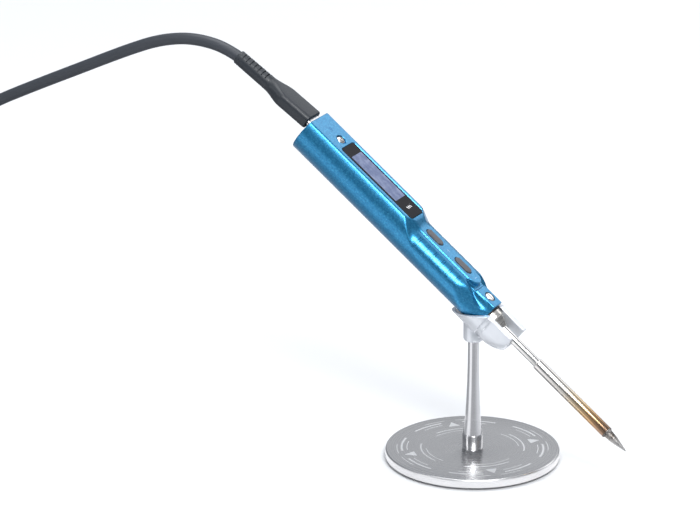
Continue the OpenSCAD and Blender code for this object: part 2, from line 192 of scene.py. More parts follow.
def curve_through(points, step):
    """Points about a step apart on the smooth curve through the given ones."""
    out = []
    for i in range(len(points) - 1):
        before = points[i - 1] if i else 2*points[0] - points[1]
        a, b = points[i], points[i + 1]
        after = points[i + 2] if i + 2 < len(points) else 2*points[-1] - points[-2]
        la, lb, lc = ((q - p).length**0.5 for p, q in ((before, a), (a, b), (b, after)))
        out_a = ((a - before)/la - (b - before)/(la + lb) + (b - a)/lb)*lb
        into_b = ((b - a)/lb - (after - a)/(lb + lc) + (after - b)/lc)*lb
        count = max(2, round((b - a).length/step))
        for k in range(count):
            t = k/count
            out.append(
                (2*t**3 - 3*t**2 + 1)*a + (t**3 - 2*t**2 + t)*out_a
                + (3*t**2 - 2*t**3)*b + (t**3 - t**2)*into_b
            )
    return out + [points[-1].copy()]


# ---- the lead's route ------------------------------------------

LEAD_D = 0.0045
TURN_PITCH = LEAD_D + 0.00005
COIL_CENTRE = Vector((-0.250, 0, 0))
COIL_R = 0.024
COIL_TURNS = 5.75
COIL_OUTER = COIL_R + COIL_TURNS/2*TURN_PITCH/2
FLOOR_TURN_Z = LEAD_D/2 + 0.00005
POINTS_PER_TURN = 24
# turns over which the coil goes down from its top layer to the floor
LAYER_CHANGE = 0.6
# how far to each side of the strap the turns rise to pass over it
TIE_SPREAD = math.radians(50)
TIE_THICK = 0.0009
TIE_W = 0.008

# from inside the near strain relief to the point where the lead's two stretches meet
NEAR_PATH = [
    (-86.0, 0, 135.48), (-92.3, 0, 139.66), (-98.5, 0, 143.7), (-106, 0, 146.7), (-113, 0, 147.9),
    (-120, 0, 148), (-127, 0, 147), (-135, 0, 144.8), (-144, 0, 141.2), (-154, 0, 136.7), (-164, 0, 132),
]
# from there down to the coil
DOWN_PATH = [
    (-164, 0, 132), (-174, 0, 127.3), (-184, 0, 122.6), (-194, 0, 117.8), (-204, 0, 112.8),
    (-214, -1, 107.1), (-225.5, -4, 99.8), (-238, -9, 90.5), (-250.5, -14, 79.5), (-261.5, -18.5, 67.5),
    (-270, -22, 55), (-275.7, -24, 42.5), (-279.2, -24, 30.5), (-280.5, -20.5, 19.5), (-280.6, -12, 10.8),
]
# from the coil into the far strain relief
TAIL_PATH = [
    (-258, -30.54, 2.35), (-266, -30.52, 2.6), (-275, -30.5, 2.9), (-283, -30.5, 2.95), (-291, -30.5, 2.95),
]


def ease(t):
    """Rises smoothly from 0 to 1 as t does."""
    t = min(max(t, 0), 1)
    return t*t*(3 - 2*t)


def coil_points():
    """The coil's turns: a spiral inwards on top, down at the middle, and a spiral outwards on the floor."""
    count = round(COIL_TURNS*POINTS_PER_TURN)
    out = []
    for i in range(count + 1):
        turned = i/POINTS_PER_TURN
        angle = math.pi - 2*math.pi*turned
        radius = COIL_OUTER - TURN_PITCH*(COIL_TURNS/2 - abs(turned - COIL_TURNS/2))
        layer = 1 - ease(0.5 + (turned - COIL_TURNS/2)/LAYER_CHANGE)
        near_tie = 1 - abs(math.atan2(math.sin(angle), math.cos(angle)))/TIE_SPREAD
        lift = (TIE_THICK + 0.0001)*ease(near_tie)
        out.append(COIL_CENTRE + Vector((
            radius*math.cos(angle), radius*math.sin(angle), FLOOR_TURN_Z + TURN_PITCH*layer + lift
        )))
    return out


def in_metres(points):
    return [Vector(p)*MM for p in points]


near_route = in_metres(NEAR_PATH)
down_route = in_metres(DOWN_PATH) + coil_points() + in_metres(TAIL_PATH)


# ---- materials -------------------------------------------------


class Look:
    """A Principled material whose pattern nodes are added by short calls that return sockets."""

    def __init__(self, name, color, roughness, metallic=0.0, **others):
        self.material = bpy.data.materials.new(name)
        self.material.use_nodes = True
        self.tree = self.material.node_tree
        self.shader = self.tree.nodes["Principled BSDF"]
        self.set(Base_Color=(*color, 1), Roughness=roughness, Metallic=metallic, **others)
        self.place = self.node("ShaderNodeTexCoord").outputs["Object"]

    def set(self, **values):
        """Sets or links the shader's own sockets; an underscore in a name stands for a space."""
        for name, value in values.items():
            self.feed(self.shader.inputs[name.replace("_", " ")], value)

    def feed(self, socket, value):
        if isinstance(value, bpy.types.NodeSocket):
            self.tree.links.new(value, socket)
        else:
            socket.default_value = value

    def node(self, kind, inputs=(), **settings):
        node = self.tree.nodes.new(kind)
        for name, value in settings.items():
            setattr(node, name, value)
        for key, value in dict(inputs).items():
            self.feed(node.inputs[key], value)
        return node

    def math(self, operation, *values):
        return self.node("ShaderNodeMath", enumerate(values), operation=operation).outputs[0]

    def scaled(self, scale, place=None):
        """The place with each axis stretched, for patterns that run along one axis."""
        inputs = {0: place or self.place, 1: scale}
        return self.node("ShaderNodeVectorMath", inputs, operation="MULTIPLY").outputs[0]

    def in_iron(self):
        """The place in the iron frame."""
        inputs = {"Vector": self.place, "Location": NOSE, "Rotation": (0, LEAN, 0)}
        return self.node("ShaderNodeMapping", inputs, vector_type="TEXTURE").outputs[0]

    def xyz(self, place):
        return self.node("ShaderNodeSeparateXYZ", {0: place}).outputs

    def noise(self, scale, detail=3, place=None, roughness=0.5):
        inputs = {"Vector": place or self.place, "Scale": scale, "Detail": detail, "Roughness": roughness}
        return self.node("ShaderNodeTexNoise", inputs).outputs["Fac"]

    def cells(self, scale, place=None):
        inputs = {"Vector": place or self.place, "Scale": scale}
        return self.node("ShaderNodeTexVoronoi", inputs).outputs["Distance"]

    def between(self, value, low, high, to_low=0.0, to_high=1.0):
        """The value's range low to high, eased onto to_low to to_high."""
        inputs = {0: value, 1: low, 2: high, 3: to_low, 4: to_high}
        return self.node("ShaderNodeMapRange", inputs, interpolation_type="SMOOTHSTEP").outputs[0]

    def blend(self, amount, a, b):
        """Colour a where the amount is 0 and b where it is 1."""
        node = self.node("ShaderNodeMix", {0: amount}, data_type="RGBA")
        for socket, color in ((node.inputs[6], a), (node.inputs[7], b)):
            self.feed(socket, color if isinstance(color, bpy.types.NodeSocket) else (*color, 1))
        return node.outputs[2]

    def ramp(self, amount, stops):
        node = self.node("ShaderNodeValToRGB", {0: amount})
        while len(node.color_ramp.elements) < len(stops):
            node.color_ramp.elements.new(0.5)
        for element, (at, color) in zip(node.color_ramp.elements, stops):
            element.position = at
            element.color = (*color, 1)
        return node.outputs["Color"]

    def bump(self, height, depth):
        """Raises the surface by up to the depth, in metres."""
        inputs = {"Height": height, "Distance": depth, "Strength": 1.0}
        if self.shader.inputs["Normal"].links:
            inputs["Normal"] = self.shader.inputs["Normal"].links[0].from_socket
        self.set(Normal=self.node("ShaderNodeBump", inputs).outputs[0])

    def grained(self, scale, depth, spread=0.0, rough=None):
        """A fine grain, which also varies the roughness by the spread around its middle."""
        grain = self.noise(scale, 2)
        self.bump(grain, depth)
        if spread:
            self.set(Roughness=self.between(grain, 0.3, 0.7, rough - spread, rough + spread))
        return self


def steel(name, color, rough, stretch=(1, 1, 1)):
    """Bare metal with fine lines; a small stretch along an axis makes the lines run that way."""
    look = Look(name, color, rough, 1.0)
    lines = look.noise(2500, 3, look.scaled(stretch, look.in_iron()))
    look.bump(lines, 0.000002)
    look.set(Roughness=look.between(lines, 0.25, 0.75, rough - 0.05, rough + 0.05))
    shade = [c*0.9 for c in color]
    look.set(Base_Color=look.blend(look.noise(90, 4), shade, color))
    return look


def plastic(name, color, rough, grain=5000, depth=0.000012, spread=0.06):
    """A dull coloured material with a fine grain."""
    look = Look(name, color, rough)
    look.grained(grain, depth, spread, rough)
    look.set(Base_Color=look.blend(look.noise(140, 4), [c*0.86 for c in color], [c*1.08 for c in color]))
    return look


def blue_shell_look():
    """Blue anodised metal with a fine blasted grain, paler where the clear layer is thin."""
    look = Look("blue_shell", (0.03, 0.25, 0.5), 0.34, 0.85, Coat_Weight=0.4, Coat_Roughness=0.24)
    grain = look.noise(4200, 3, roughness=0.7)
    mottle = look.noise(1300, 4, roughness=0.7)
    tone = look.math("ADD", look.math("MULTIPLY", grain, 0.5), look.math("MULTIPLY", mottle, 0.5))
    look.set(Base_Color=look.ramp(tone, [
        (0.34, (0.006, 0.12, 0.27)), (0.5, (0.014, 0.19, 0.38)), (0.66, (0.055, 0.32, 0.54)),
    ]))
    look.bump(grain, 0.000014)
    look.set(Roughness=look.between(grain, 0.3, 0.7, 0.27, 0.4))
    return look


def sleeve_look():
    """Polished steel that heat has tinted gold and copper towards its front."""
    look = Look("sleeve_steel", (0.66, 0.62, 0.56), 0.2, 1.0)
    place = look.in_iron()
    x = look.xyz(place)[0]
    patches = look.noise(220, 4, look.scaled((0.35, 1, 1), place))
    along = look.math("ADD", x, look.math("MULTIPLY", look.math("SUBTRACT", patches, 0.5), 0.006))
    look.set(Base_Color=look.ramp(look.between(along, 0.0251, 0.061), [
        (0.0, (0.62, 0.6, 0.58)), (0.38, (0.6, 0.57, 0.52)), (0.58, (0.6, 0.49, 0.35)),
        (0.78, (0.58, 0.4, 0.22)), (0.93, (0.47, 0.29, 0.15)), (1.0, (0.26, 0.17, 0.12)),
    ]))
    lines = look.noise(2600, 3, look.scaled((0.03, 1, 1), place))
    look.bump(lines, 0.000002)
    look.set(Roughness=look.between(lines, 0.25, 0.75, 0.14, 0.27))
    return look


def tip_look():
    """Dark iron plating with worn solder near the point."""
    look = Look("tip_plating", (0.3, 0.29, 0.28), 0.42, 1.0)
    place = look.in_iron()
    x = look.xyz(place)[0]
    blotch = look.noise(480, 5, place, 0.65)
    worn = look.between(look.math("ADD", x, look.math("MULTIPLY", blotch, 0.004)), 0.0655, 0.0705)
    patchy = look.between(blotch, 0.38, 0.62)
    dark = look.blend(patchy, (0.085, 0.07, 0.06), (0.4, 0.38, 0.36))
    look.set(Base_Color=look.blend(worn, dark, (0.5, 0.49, 0.48)))
    look.set(Roughness=look.between(blotch, 0.3, 0.7, 0.3, 0.52))
    look.bump(look.noise(3500, 4, place), 0.00003)
    return look


def base_look():
    """Steel turned on a lathe: fine rings around the middle."""
    look = Look("base_steel", (0.6, 0.6, 0.6), 0.25, 1.0)
    x, y, z = look.xyz(look.place)
    radius = look.math("SQRT", look.math("ADD", look.math("MULTIPLY", x, x), look.math("MULTIPLY", y, y)))
    ring_place = look.node("ShaderNodeCombineXYZ", {0: radius, 1: look.math("MULTIPLY", z, 0.3)}).outputs[0]
    rings = look.noise(3800, 4, ring_place, 0.7)
    look.bump(rings, 0.0000025)
    look.set(Roughness=look.between(rings, 0.25, 0.75, 0.2, 0.31))
    look.set(Base_Color=look.blend(look.noise(60, 4), (0.56, 0.56, 0.565), (0.66, 0.66, 0.66)))
    return look


def post_look():
    look = Look("post_steel", (0.56, 0.56, 0.57), 0.17, 1.0)
    lines = look.noise(3000, 3, look.scaled((0.12, 0.12, 1)))
    look.bump(lines, 0.0000004)
    look.set(Roughness=look.between(lines, 0.25, 0.75, 0.14, 0.2))
    look.set(Base_Color=look.blend(look.noise(80, 4), (0.5, 0.5, 0.51), (0.62, 0.62, 0.63)))
    return look


def holder_look():
    """Satin silver-white lacquer with a slight orange peel."""
    look = Look("holder_paint", (0.68, 0.7, 0.73), 0.3, 0.5, Coat_Weight=0.3, Coat_Roughness=0.16)
    look.set(Base_Color=look.blend(look.noise(110, 4), (0.51, 0.535, 0.575), (0.62, 0.64, 0.67)))
    look.bump(look.noise(900, 3), 0.000012)
    look.grained(6000, 0.000003, 0.05, 0.36)
    return look


def jacket_look():
    """Soft matt jacket with a faint drawn grain."""
    look = plastic("cable_jacket", (0.026, 0.031, 0.04), 0.5, 4200, 0.000012, 0.07)
    look.bump(look.noise(700, 3), 0.00002)
    return look


def strap_look():
    """Hook-and-loop tape: a fuzz of small loops."""
    look = Look("tie_fabric", (0.02, 0.02, 0.022), 0.85, 0.0, Sheen_Weight=0.35, Sheen_Roughness=0.5)
    loops = look.cells(2600)
    look.set(Base_Color=look.blend(loops, (0.045, 0.045, 0.05), (0.01, 0.01, 0.012)))
    look.bump(loops, 0.00012)
    return look


def board_look():
    look = Look("board", (0.01, 0.12, 0.05), 0.35, 0.0, Coat_Weight=0.3)
    tracks = look.between(look.cells(420, look.in_iron()), 0.25, 0.3)
    look.set(Base_Color=look.blend(tracks, (0.014, 0.17, 0.07), (0.008, 0.1, 0.04)))
    look.bump(tracks, 0.00002)
    return look


def window_look():
    """Black polished window with the faintest haze."""
    look = Look("window_glass", (0.012, 0.013, 0.016), 0.1, 0.0, Specular_IOR_Level=0.04)
    haze = look.noise(180, 4)
    look.set(Base_Color=look.blend(haze, (0.004, 0.0045, 0.006), (0.011, 0.012, 0.015)))
    look.set(Roughness=look.between(haze, 0.3, 0.7, 0.06, 0.13))
    return look


def oled_look():
    """The display's active area, switched off: grey lavender with a fine pixel grid."""
    look = Look("oled", (0.14, 0.17, 0.3), 0.3, 0.0, Specular_IOR_Level=0.25)
    place = look.in_iron()
    x, y, _ = look.xyz(place)
    grid = [look.math("FRACT", look.math("MULTIPLY", axis, 4200.0)) for axis in (x, y)]
    lines = look.math("MAXIMUM", *[look.between(g, 0.72, 0.95) for g in grid])
    cloud = look.ramp(look.noise(420, 4, place, 0.65), [
        (0.34, (0.05, 0.075, 0.17)), (0.5, (0.085, 0.115, 0.215)), (0.66, (0.15, 0.18, 0.29)),
    ])
    look.set(Base_Color=look.blend(look.math("MULTIPLY", lines, 0.25), cloud, (0.07, 0.075, 0.12)))
    look.bump(lines, 0.000001)
    return look


ALONG_IRON = (0.04, 1, 1)
AROUND_IRON = (1, 0.05, 0.05)
LOOKS = {
    "base_steel": base_look(),
    "pad_rubber": plastic("pad_rubber", (0.3, 0.3, 0.31), 0.75, 1800, 0.00003),
    "fastener_steel": steel("fastener_steel", (0.3, 0.3, 0.31), 0.35),
    "post_steel": post_look(),
    "holder_paint": holder_look(),
    "blue_shell": blue_shell_look(),
    "black_plastic": plastic("black_plastic", (0.025, 0.025, 0.027), 0.45),
    "window_glass": window_look(),
    "oled": oled_look(),
    "board": board_look(),
    "chip": plastic("chip", (0.025, 0.025, 0.027), 0.5),
    "switch_metal": steel("switch_metal", (0.66, 0.66, 0.66), 0.3),
    "socket_metal": steel("socket_metal", (0.6, 0.6, 0.61), 0.28),
    "white_insulator": plastic("white_insulator", (0.56, 0.54, 0.48), 0.4),
    "gold_contact": steel("gold_contact", (0.83, 0.6, 0.24), 0.25),
    "gasket_rubber": plastic("gasket_rubber", (0.015, 0.015, 0.017), 0.6),
    "collar_steel": steel("collar_steel", (0.62, 0.6, 0.56), 0.26, AROUND_IRON),
    "black_nut": steel("black_nut", (0.03, 0.03, 0.033), 0.4),
    "key_plastic": plastic("key_plastic", (0.055, 0.055, 0.062), 0.42, 6500, 0.000012, 0.07),
    "screw_steel": steel("screw_steel", (0.82, 0.81, 0.8), 0.22),
    "earth_screw_steel": steel("earth_screw_steel", (0.74, 0.72, 0.7), 0.2),
    "tube_steel": steel("tube_steel", (0.74, 0.73, 0.71), 0.17, ALONG_IRON),
    "sleeve_steel": sleeve_look(),
    "tip_plating": tip_look(),
    "plug_metal": steel("plug_metal", (0.58, 0.58, 0.59), 0.26, ALONG_IRON),
    "cable_moulding": plastic("cable_moulding", (0.01, 0.014, 0.02), 0.45, 3600, 0.00002, 0.08),
    "cable_jacket": jacket_look(),
    "tie_fabric": strap_look(),
}


def finish_of(node):
    return LOOKS[SLOTS[node]].material


# ---- pieces that stand for CAD nodes ---------------------------

TURN_SIDES = 96
CORNER_STEPS = 3
QUARTER_STEPS = 6


def softened(node, voxel, rounds):
    """A copy of a CAD piece whose edges are rounded like a casting's, which stands for it."""
    obj = bpy.data.objects.new(node + "_body", frame["nodes"][node].data.copy())
    bpy.context.scene.collection.objects.link(obj)
    remesh = obj.modifiers.new("remesh", "REMESH")
    remesh.mode = "VOXEL"
    remesh.voxel_size = voxel*MM
    relax = obj.modifiers.new("relax", "SMOOTH")
    relax.factor = 0.5
    relax.iterations = rounds
    bm = bmesh.new()
    bm.from_object(obj, bpy.context.evaluated_depsgraph_get())
    bpy.data.objects.remove(obj)
    return piece(node + "_body", bm, finish_of(node), BODIES[node], [node], 180)


def turned_bm(profile, place, closed=False):
    """A lathed solid: (along, radius) points in millimetres about the place's own x axis."""
    bm = bmesh.new()
    rings = []
    for along, radius in profile:
        turns = [2*math.pi*k/TURN_SIDES for k in range(TURN_SIDES if radius else 1)]
        rings.append([
            bm.verts.new(place @ (Vector((along, radius*math.cos(a), radius*math.sin(a)))*MM)) for a in turns
        ])
    for a, b in zip(rings, rings[1:] + rings[:1] if closed else rings[1:]):
        for k in range(TURN_SIDES):
            n = (k + 1) % TURN_SIDES
            if len(a) == 1:
                bm.faces.new((a[0], b[n], b[k]))
            elif len(b) == 1:
                bm.faces.new((a[k], a[n], b[0]))
            else:
                bm.faces.new((a[k], a[n], b[n], b[k]))
    return bm


def rounded_profile(points, cut, closed):
    """The profile with its corners rounded, each cut back by at most the given length."""
    around = points[-1:] + points + points[:1] if closed else points
    out = [] if closed else [points[0]]
    for before, corner, after in zip(around, around[1:], around[2:]):
        p, c, q = (Vector(v) for v in (before, corner, after))
        back = min(cut, (p - c).length/2.2)
        on = min(cut, (q - c).length/2.2)
        start, end = c + (p - c).normalized()*back, c + (q - c).normalized()*on
        for k in range(CORNER_STEPS + 1):
            t = k/CORNER_STEPS
            out.append(tuple((1 - t)**2*start + 2*t*(1 - t)*c + t*t*end))
    return out if closed else out + [points[-1]]


def carve(obj, bm):
    """Cuts a closed bmesh out of a piece."""
    bmesh.ops.recalc_face_normals(bm, faces=bm.faces)
    mesh = bpy.data.meshes.new("cutter")
    bm.to_mesh(mesh)
    bm.free()
    cutter = bpy.data.objects.new("cutter", mesh)
    bpy.context.scene.collection.objects.link(cutter)
    boolean = obj.modifiers.new("cut", "BOOLEAN")
    boolean.operation = "DIFFERENCE"
    boolean.solver = "EXACT"
    boolean.object = cutter
    bm = bmesh.new()
    bm.from_object(obj, bpy.context.evaluated_depsgraph_get())
    obj.modifiers.clear()
    bm.to_mesh(obj.data)
    bm.free()
    bpy.data.objects.remove(cutter)


def formed(node, bm, cutters=(), angle=35):
    """A piece that stands for a CAD node, less its cutters."""
    obj = piece(node + "_body", bm, finish_of(node), None)
    for cutter in cutters:
        carve(obj, cutter)
    smooth(obj, angle)
    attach(obj, BODIES[node])
    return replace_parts(obj, node)


def turned(node, profile, place, cutters=(), closed=False, cut=0.12):
    """A lathed piece that stands for a CAD node."""
    return formed(node, turned_bm(rounded_profile(profile, cut, closed), place, closed), cutters)


def layered(layers, place):
    """A solid through outlines of (x, y) points, one at each height, all in millimetres."""
    bm = bmesh.new()
    rings = [[bm.verts.new(place @ (Vector((x, y, z))*MM)) for x, y in outline] for outline, z in layers]
    return skin(bm, rings)


def round_outline(x0, x1, half_w, corner, steps=8):
    """A rectangle with rounded corners that is long along x."""
    out = []
    for sx, sy, first in ((1, 1, 0), (0, 1, 90), (0, -1, 180), (1, -1, 270)):
        cx, cy = (x1 - corner if sx else x0 + corner), sy*(half_w - corner)
        for k in range(steps + 1):
            a = math.radians(first + 90*k/steps)
            out.append((cx + corner*math.cos(a), cy + corner*math.sin(a)))
    return out


def quarter_round(radius):
    """An edge rounded over, as (inset, drop) from the sharp corner."""
    angles = (math.radians(90*k/QUARTER_STEPS) for k in range(QUARTER_STEPS + 1))
    return [(radius*(1 - math.cos(a)), radius*(1 - math.sin(a))) for a in angles]


def ring_outline(x, radius, sides=64):
    return [(x + radius*math.cos(a), radius*math.sin(a)) for a in (2*math.pi*k/sides for k in range(sides))]


# ---- handle ----------------------------------------------------
# The outer form is one signed distance, in the iron frame's millimetres, whose joins are all filleted.

BODY_L = 97.0
BODY_R = 9.15
BODY_UP = 2.85
FLAT_UP = 8.95
GRIP_UP = 6.8
GRIP_ROUND = 5.05
SHOULDER_Y = BODY_R + 0.05 - GRIP_ROUND
ISLAND_UP = 7.4
KEY_UP = 7.85
ISLAND_HALF = 3.3
ISLAND_FRONT = -10.5
BLOCK_UP = 6.0
BLOCK_REAR = -9.2
NOSE_R = 5.2
TAPER_START = -16.0
TAPER_R = 9.9
WALL = 1.3
GROOVES = [-37.1 + 4.06*i + dx for i in range(6) for dx in (-0.4, 0.4)]
GROOVE_HALF = 0.2
GROOVE_DEEP = 0.42
GROOVE_SPAN = (math.radians(17), math.radians(62))
WINDOW_X = (-81.9, -44.7)
WINDOW_W = 9.9
WINDOW_CORNER = 1.15
KEY_X = (-34.4, -19.6)
KEY_L = 8.0
KEY_W = 3.2
KEY_ROUND = 0.45
KEY_FOOT = 5.1
CLAMP_X = -4.4
EARTH_X = -85.1
SEAM_GAP = 0.05

# planes of the form, each a point and a normal; the form is the same on both sides, so y counts outwards
STEP_FRONT = ((-43.9, 0, FLAT_UP), (0.36, 0, 0.93))
STEP_SIDE = ((-46.5, 6.7, FLAT_UP), (0.43, 0.4, 0.81))
COLUMN_HALF = 3.6
COLUMN_UP = 5.5
BLOCK_HALF = 4.3
COLUMN_SIDE = ((0, COLUMN_HALF, COLUMN_UP), (0, 2.4, 0.7))
RECESS_FLOOR = ((0, BLOCK_HALF, 3.1), (0, 3, 9.7))
RECESS_END = ((-11.9, 5.8, 6.3), (0.44, -0.54, 0.71))
RECESS_REAR = -14
BLOCK_SIDE = ((0, BLOCK_HALF, 3), (0, 3, 1))
STRIP_REAR = -41.5

# the openings' layers from the bottom up: how far the outline grows, or its radius, and the height
WINDOW_SEAT = [(0.06, -1.1), (0.06, -0.22), (0.34, 0.06), (0.5, 1)]
KEY_SEAT = [(0.15, -1.6), (0.15, -0.12), (0.3, 0.05), (0.4, 1)]
CLAMP_SEAT = [(2.2, -1.6), (2.2, 3)]
EARTH_SEAT = [(2.1, -0.9), (2.1, -0.12), (2.3, 0.08), (2.3, 1)]

# the hollow: a round bore in the nose, then a narrow stretch under the keys and a wide one behind it
BORE = (-17, 4.2)
NARROW = (6.9, 5.5)
NARROW_REAR = -49
OVERLAP = 0.02

# (first, last, step) of the places along the handle, close together where its form changes
STATION_RUNS = [
    (-BODY_L + 0.5, -48, 0.9), (-48, -40.5, 0.16), (-40.5, -14.6, 0.6),
    (-14.6, -8.4, 0.12), (-8.4, -0.5, 0.35),
]
END_STEPS = (0.005, 0.03, 0.08, 0.15, 0.25, 0.38)
# the rays of each station: first angle, last angle and how many
UPPER_FAN = (math.radians(-12), math.radians(192), 236)
LOWER_FAN = (math.radians(192), math.radians(348), 60)
RAY_REACH = 11.0
HALVINGS = 26


def join(a, b, k):
    """The smaller of two distances, with a fillet about k wide."""
    h = np.maximum(k - np.abs(a - b), 0)/k
    return np.minimum(a, b) - h*h*k/4


def meet(a, b, k):
    """The larger of two distances, with an edge rounded over about k."""
    return -join(-a, -b, k)


def plane(x, y, z, point, normal):
    """Distance ahead of a plane."""
    size = math.sqrt(sum(n*n for n in normal))
    return sum((v - p)*n for v, p, n in zip((x, y, z), point, normal))/size


def handle_form(x, y, z):
    """Distance from the handle's outer surface, less than 0 inside."""
    side = np.abs(y)
    form = meet(np.hypot(y, z - BODY_UP) - BODY_R, z - FLAT_UP, 0.5)
    # the grip's shoulders, cut down ahead of the display step's three facets
    shoulder_z = np.maximum(z - (GRIP_UP - GRIP_ROUND), 0)
    grip = np.hypot(np.maximum(side - SHOULDER_Y, 0), shoulder_z) - GRIP_ROUND
    step = meet(plane(x, side, z, *STEP_FRONT), plane(x, side, z, *STEP_SIDE), 0.35)
    form = meet(form, join(grip, step, 0.7), 0.45)
    # the slanted recess on each side of the nose block
    column = meet(z - COLUMN_UP, plane(x, side, z, *COLUMN_SIDE), 0.3)
    recess = join(column, plane(x, side, z, *RECESS_FLOOR), 1.6)
    recess = join(recess, plane(x, side, z, *RECESS_END), 1.4)
    form = meet(form, np.minimum(recess, x - RECESS_REAR), 1.1)
    gap = np.maximum(np.maximum(BLOCK_REAR - 0.8 - x, side - COLUMN_HALF), COLUMN_UP - z)
    form = meet(form, -gap, 0.3)
    # the cone of the nose
    slope = (TAPER_R - NOSE_R)/-TAPER_START
    cone = (np.hypot(y, z) - (NOSE_R - slope*x))/math.hypot(1, slope)
    form = meet(form, np.where(x > TAPER_START, cone, cone + slope*(x - TAPER_START)), 0.5)
    # the raised strip of the keys, with its round front end
    strip_side = np.hypot(np.maximum(x - (ISLAND_FRONT - ISLAND_HALF), 0), y) - ISLAND_HALF
    strip = np.maximum(np.maximum(meet(strip_side, z - ISLAND_UP, 0.4), STRIP_REAR - x), 4 - z)
    form = join(form, strip, 0.7)
    block = meet(meet(z - BLOCK_UP, plane(x, side, z, *BLOCK_SIDE), 0.4), BLOCK_REAR - x, 0.4)
    form = join(form, np.maximum(np.maximum(block, side - BLOCK_HALF), 1 - z), 0.5)
    # the pairs of grooves
    around = np.arctan2(side - SHOULDER_Y, z - (GRIP_UP - GRIP_ROUND))
    for at in GROOVES:
        off_span = np.maximum(GROOVE_SPAN[0] - around, around - GROOVE_SPAN[1])*GRIP_ROUND
        groove = np.maximum(np.maximum(np.abs(x - at) - GROOVE_HALF, off_span), -grip - GROOVE_DEEP)
        form = np.maximum(form, -groove)
    return meet(meet(form, x, 0.35), -BODY_L - x, 0.35)


def stations():
    """Places along the handle, with one on each side of every groove's edges."""
    places = set()
    for first, last, step in STATION_RUNS:
        places |= {round(first + step*k, 3) for k in range(int((last - first)/step) + 1)}
    for end, inwards in ((-BODY_L, 1), (0, -1)):
        places |= {end + inwards*d for d in END_STEPS}
    for at in GROOVES:
        places = {p for p in places if abs(p - at) > GROOVE_HALF + 0.06}
        places |= {at + s*(GROOVE_HALF + d) for s in (-1, 1) for d in (-0.015, 0.015)}
    return sorted(places)


def handle_bm():
    """The outer form as a grid: at each station, rays from the handle's middle meet its surface."""
    angles = np.concatenate([np.linspace(*UPPER_FAN), np.linspace(*LOWER_FAN)[1:-1]])
    xs = np.array(stations())
    x = np.repeat(xs[:, None], len(angles), 1)
    across, up = np.cos(angles)[None, :], np.sin(angles)[None, :]
    middle = np.clip(2.2 + (xs[:, None] + 14)*-0.1, 1.0, 2.2)
    near, far = np.zeros_like(x), np.full_like(x, RAY_REACH)
    for _ in range(HALVINGS):
        r = (near + far)/2
        inside = handle_form(x, across*r, middle + up*r) < 0
        near, far = np.where(inside, r, near), np.where(inside, far, r)
    r = (near + far)/2
    ys, zs = across*r, middle + up*r
    bm = bmesh.new()
    rings = [
        [bm.verts.new(on_iron(xs[i], ys[i, k], zs[i, k])) for k in range(len(angles))]
        for i in range(len(xs))
    ]
    return skin(bm, rings)


def key_outline(x, grow):
    return round_outline(x - KEY_L/2 - grow, x + KEY_L/2 + grow, KEY_W/2 + grow, KEY_W/2 + grow - 0.001, 12)


def d_outline(radius, top):
    """The handle's round section with a flat top, as (y, z) points."""
    edge = math.asin(min((top - BODY_UP)/radius, 1))
    return [
        (radius*math.cos(a), BODY_UP + radius*math.sin(a))
        for a in (math.pi - edge + k/64*(math.pi + 2*edge) for k in range(65))
    ]


def window_outline(grow):
    return round_outline(WINDOW_X[0] - grow, WINDOW_X[1] + grow, WINDOW_W/2 + grow, WINDOW_CORNER + grow)


def across_prism(outline, x0, x1):
    """A prism from (y, z) points that runs along the iron."""
    bm = bmesh.new()
    return skin(bm, [[bm.verts.new(on_iron(x, y, z)) for y, z in outline] for x in (x0, x1)])


def pocket(obj, outline, top, layers):
    """Cuts an opening whose outline grows layer by layer, at heights from the surface."""
    carve(obj, layered([(outline(grow), top + z) for grow, z in layers], IRON))


def handle():
    """Both shells: the outer form less its openings, parted at the seam."""
    whole = piece("handle", handle_bm(), finish_of("upper_shell"), None)
    pocket(whole, window_outline, FLAT_UP, WINDOW_SEAT)
    for x in KEY_X:
        pocket(whole, lambda grow, x=x: key_outline(x, grow), ISLAND_UP, KEY_SEAT)
    pocket(whole, lambda radius: ring_outline(CLAMP_X, radius), BLOCK_UP, CLAMP_SEAT)
    pocket(whole, lambda radius: ring_outline(EARTH_X, radius), FLAT_UP, EARTH_SEAT)
    bore_rear, bore_r = BORE
    carve(whole, turned_bm([(bore_rear, 0), (bore_rear, bore_r), (2, bore_r), (2, 0)], IRON))
    carve(whole, across_prism(d_outline(BODY_R - WALL, FLAT_UP - WALL), -BODY_L - 1, NARROW_REAR))
    carve(whole, across_prism(d_outline(*NARROW), NARROW_REAR - OVERLAP, bore_rear - OVERLAP))
    for node, sign in (("upper_shell", 1), ("lower_shell", -1)):
        bm = bmesh.new()
        bm.from_mesh(whole.data)
        cut_flat(bm, on_iron(0, 0, BODY_UP + sign*SEAM_GAP/2), OUT, keep_above=sign > 0)
        piece(node + "_body", bm, finish_of(node), BODIES[node], [node], 40)
    bpy.data.objects.remove(whole)


handle()

for node, x in (("rear_key", KEY_X[0]), ("front_key", KEY_X[1])):
    edge = [(-inset, KEY_UP - drop) for inset, drop in quarter_round(KEY_ROUND)]
    formed(node, layered([(key_outline(x, g), z) for g, z in [(0, KEY_FOOT)] + edge], IRON), angle=50)

# ---- screws, collar and cartridge ------------------------------

UPRIGHT = Matrix.Rotation(-math.pi/2, 4, "Y")
TUBE_R = 1.73
SLEEVE_R = 2.25
SLEEVE_X = (25.1, 61)
POINT_X = 71.2
BORE_R = 1.78
FACET_NORMAL = (0.17, 0, 1)
SLOT_HALF = 0.27
SLOT_DEEP = 0.35
EARTH_SHANK_R = 0.93
EARTH_HEAD_R = 1.7
EARTH_HEAD_UP = 8.1
DOME_R = 2.45
DOME_CENTRE = 6.95
HEX_R = 0.75


